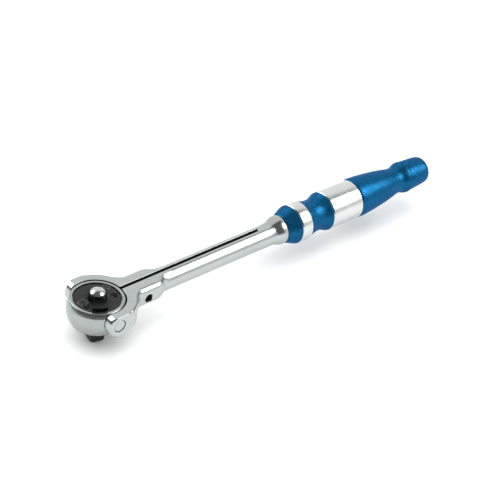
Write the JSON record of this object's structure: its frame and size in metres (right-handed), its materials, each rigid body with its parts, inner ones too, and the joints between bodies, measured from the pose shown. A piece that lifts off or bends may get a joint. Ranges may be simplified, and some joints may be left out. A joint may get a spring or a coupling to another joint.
{
  "type": "swivel-head ratchet wrench",
  "caption": "Long-reach hand ratchet wrench with a tilting round head in a slotted steel yoke, reversing lever, quick-release button and turned blue handle.",
  "frame": {"origin": "centre of the end face of the drive square", "axes": "+X from the head towards the end of the handle, +Z from the drive square up through the head to the release button, +Y completes a right-handed set along the tilt axis"},
  "size_m": [0.3091, 0.0482, 0.039],
  "materials": {
    "polished_chrome": "polished chrome plate on steel",
    "satin_chrome": "satin chrome plate on forged steel",
    "tool_steel": "ground, oiled",
    "black_oxide_steel": "black oxide",
    "matt_black": "matt black coating",
    "gloss_black": "gloss black coating",
    "blue_anodised": "fine-bead blasted, blue anodised",
    "bare_aluminium": "bright turned"
  },
  "bodies": {
    "handle": {"yoke_shank": "satin_chrome", "pivot_pin_left": "satin_chrome", "pivot_pin_right": "satin_chrome", "front_cone": "blue_anodised", "front_ring": "bare_aluminium", "waist_sleeve": "blue_anodised", "grip_band": "bare_aluminium", "rear_grip": "blue_anodised", "tang_nut": "tool_steel", "end_cap": "blue_anodised"},
    "head": {"head_housing": "polished_chrome", "tooth_ring": "tool_steel", "retaining_ring": "tool_steel"},
    "drive": {"drive_anvil": "black_oxide_steel", "cover_plate": "matt_black", "pawl_pin": "tool_steel", "release_spring": "tool_steel"},
    "selector": {"selector_lever": "gloss_black"},
    "pawl_rocker": {"pawl": "tool_steel"},
    "button": {"release_button": "polished_chrome"},
    "ball": {"detent_ball": "tool_steel"},
    "tensioner": {"tension_screw": "black_oxide_steel"}
  },
  "joints": [
    {"name": "head_tilt", "type": "hinge", "parent": "handle", "child": "head", "pos_m": [0, 0, 0.025], "axis": [0, 1, 0], "range_deg": [-45, 90]},
    {"name": "drive_spin", "type": "hinge", "parent": "head", "child": "drive", "pos_m": [0, 0, 0.025], "axis": [0, 0, 1], "continuous": true},
    {"name": "selector_turn", "type": "hinge", "parent": "drive", "child": "selector", "pos_m": [0, 0, 0.025], "axis": [0, 0, 1], "range_deg": [0, 70]},
    {"name": "pawl_rock", "type": "hinge", "parent": "drive", "child": "pawl_rocker", "pos_m": [0.00161, 0.00916, 0.025], "axis": [0, 0, 1], "range_deg": [-5, 0]},
    {"name": "release_press", "type": "slide", "parent": "drive", "child": "button", "axis": [0, 0, -1], "range_m": [0, 0.0022], "stiffness_N_per_m": 800, "springref_m": -0.003, "deforming": ["release_spring"]},
    {"name": "ball_retract", "type": "slide", "parent": "drive", "child": "ball", "axis": [-0.9703, 0.2419, 0], "range_m": [0, 0.00055]},
    {"name": "tension_turn", "type": "hinge", "parent": "handle", "child": "tensioner", "pos_m": [0.034, 0, 0.0237], "axis": [0, 1, 0], "range_deg": [-180, 180]}
  ],
  "couplings": [
    {"joint": "pawl_rock", "follows": "selector_turn", "ratio": -0.071429},
    {"joint": "ball_retract", "follows": "release_press", "ratio": 0.25}
  ]
}
